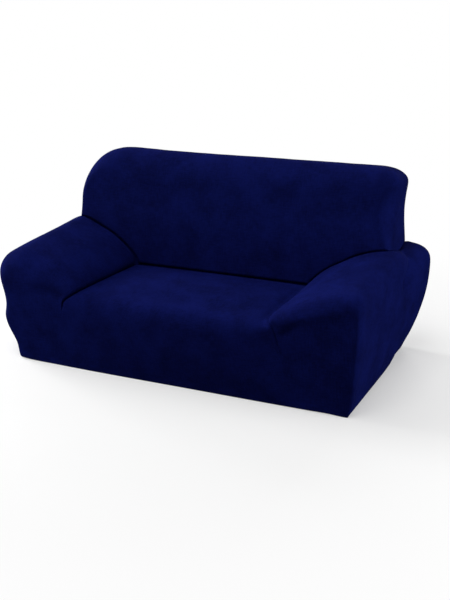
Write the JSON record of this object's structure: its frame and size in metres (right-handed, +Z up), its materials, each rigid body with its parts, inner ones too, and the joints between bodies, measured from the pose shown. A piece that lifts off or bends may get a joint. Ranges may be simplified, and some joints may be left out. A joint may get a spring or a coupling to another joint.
{
  "type": "sofa slipcover",
  "caption": "Fitted stretch slipcover for a two-seat sofa in its worn shape: hollow, open at the hem, with flared arms and a tall rounded back.",
  "frame": {"origin": "on the floor, under the middle of the cover's outside width and depth, level with the hem", "axes": "+X runs along the seat to the sitter's left arm, which is the right one seen from the front; -Y is the front of the sofa; +Z is up"},
  "size_m": [1.9398, 0.951, 0.9543],
  "materials": {
    "stretch_jersey": "matt navy knitted jersey"
  },
  "bodies": {
    "root": {"arm_panel_left": "stretch_jersey", "arm_panel_right": "stretch_jersey", "seat_panel": "stretch_jersey", "inside_back_panel": "stretch_jersey", "outside_back_panel": "stretch_jersey"}
  },
  "joints": []
}
